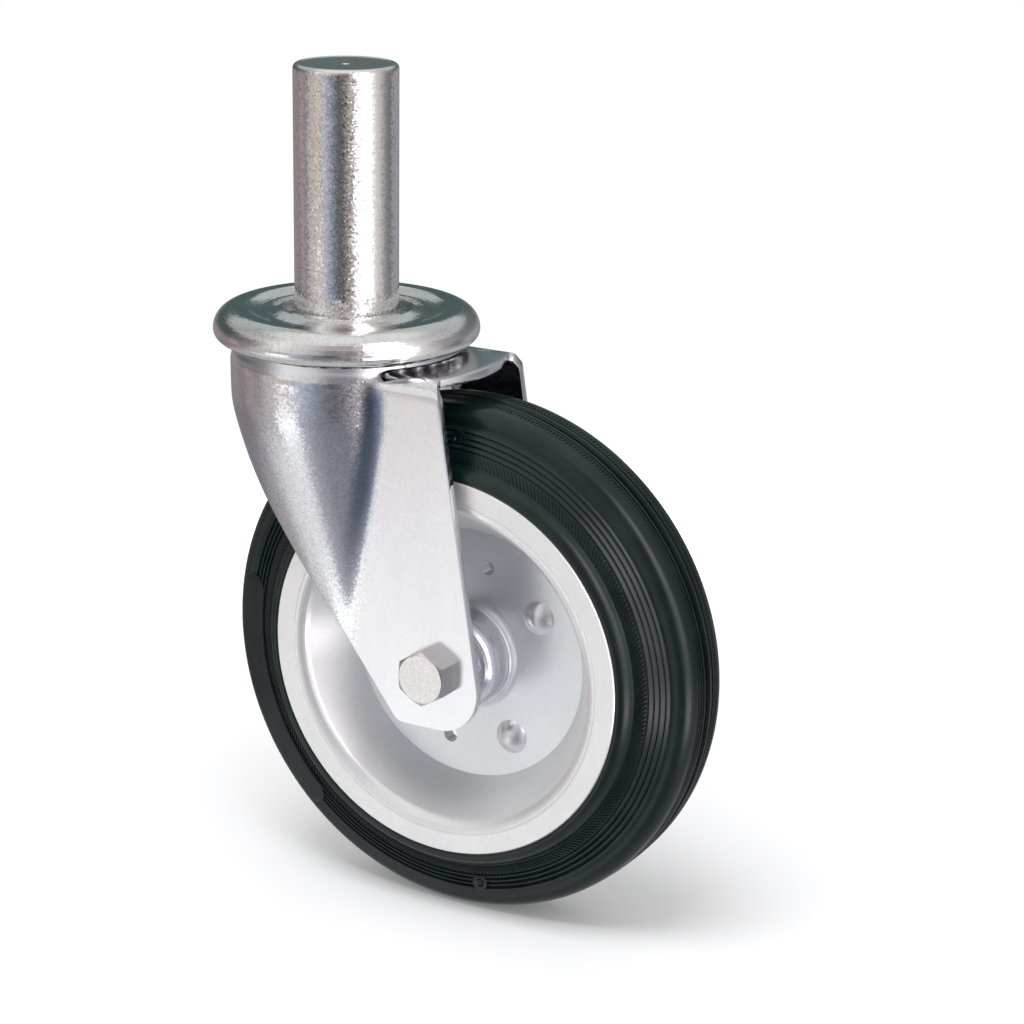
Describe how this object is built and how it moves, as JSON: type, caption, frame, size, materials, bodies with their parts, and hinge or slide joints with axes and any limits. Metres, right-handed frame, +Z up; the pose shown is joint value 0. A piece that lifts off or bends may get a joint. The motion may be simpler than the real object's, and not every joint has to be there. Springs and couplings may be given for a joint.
{
  "type": "scaffold castor",
  "caption": "Swivel castor with a plain round stem, a ball-race head, a pressed steel fork and a riveted steel wheel with a solid rubber tyre.",
  "frame": {"origin": "on the swivel axis, level with the step of the top cap where the stem starts", "axes": "+Z up along the stem, +X towards the trailing wheel, Y along the axle with the bolt head at -Y"},
  "size_m": [0.2102, 0.1024, 0.3235],
  "materials": {
    "zinc_bright": "bright zinc plate with spangle",
    "zinc_pale": "pale satin zinc plate",
    "zinc_inner": "dull zinc plate",
    "bearing_steel": "ground",
    "rubber_black": "satin moulded rubber"
  },
  "bodies": {
    "stem_head": {"stem": "zinc_bright", "top_cap": "zinc_bright", "lower_race": "zinc_inner", "king_washer": "zinc_inner", "king_nut": "zinc_inner"},
    "swivel_fork": {"fork": "zinc_bright", "upper_balls": "bearing_steel", "lower_balls": "bearing_steel", "axle_bolt": "zinc_pale", "axle_washer": "zinc_pale", "axle_nut": "zinc_pale", "axle_sleeve": "bearing_steel", "near_thrust_washer": "zinc_inner", "far_thrust_washer": "zinc_inner"},
    "wheel": {"tyre": "rubber_black", "near_rim": "zinc_pale", "far_rim": "zinc_pale", "rivets": "zinc_pale", "hub_tube": "zinc_inner", "roller_cage": "zinc_inner", "rollers": "bearing_steel", "near_hub_cap": "zinc_pale", "far_hub_cap": "zinc_pale"}
  },
  "joints": [
    {"name": "swivel", "type": "hinge", "parent": "stem_head", "child": "swivel_fork", "pos_m": [0, 0, 0], "axis": [0, 0, 1], "continuous": true},
    {"name": "wheel_spin", "type": "hinge", "parent": "swivel_fork", "child": "wheel", "pos_m": [0.0575, 0, -0.129], "axis": [0, 1, 0], "continuous": true}
  ]
}
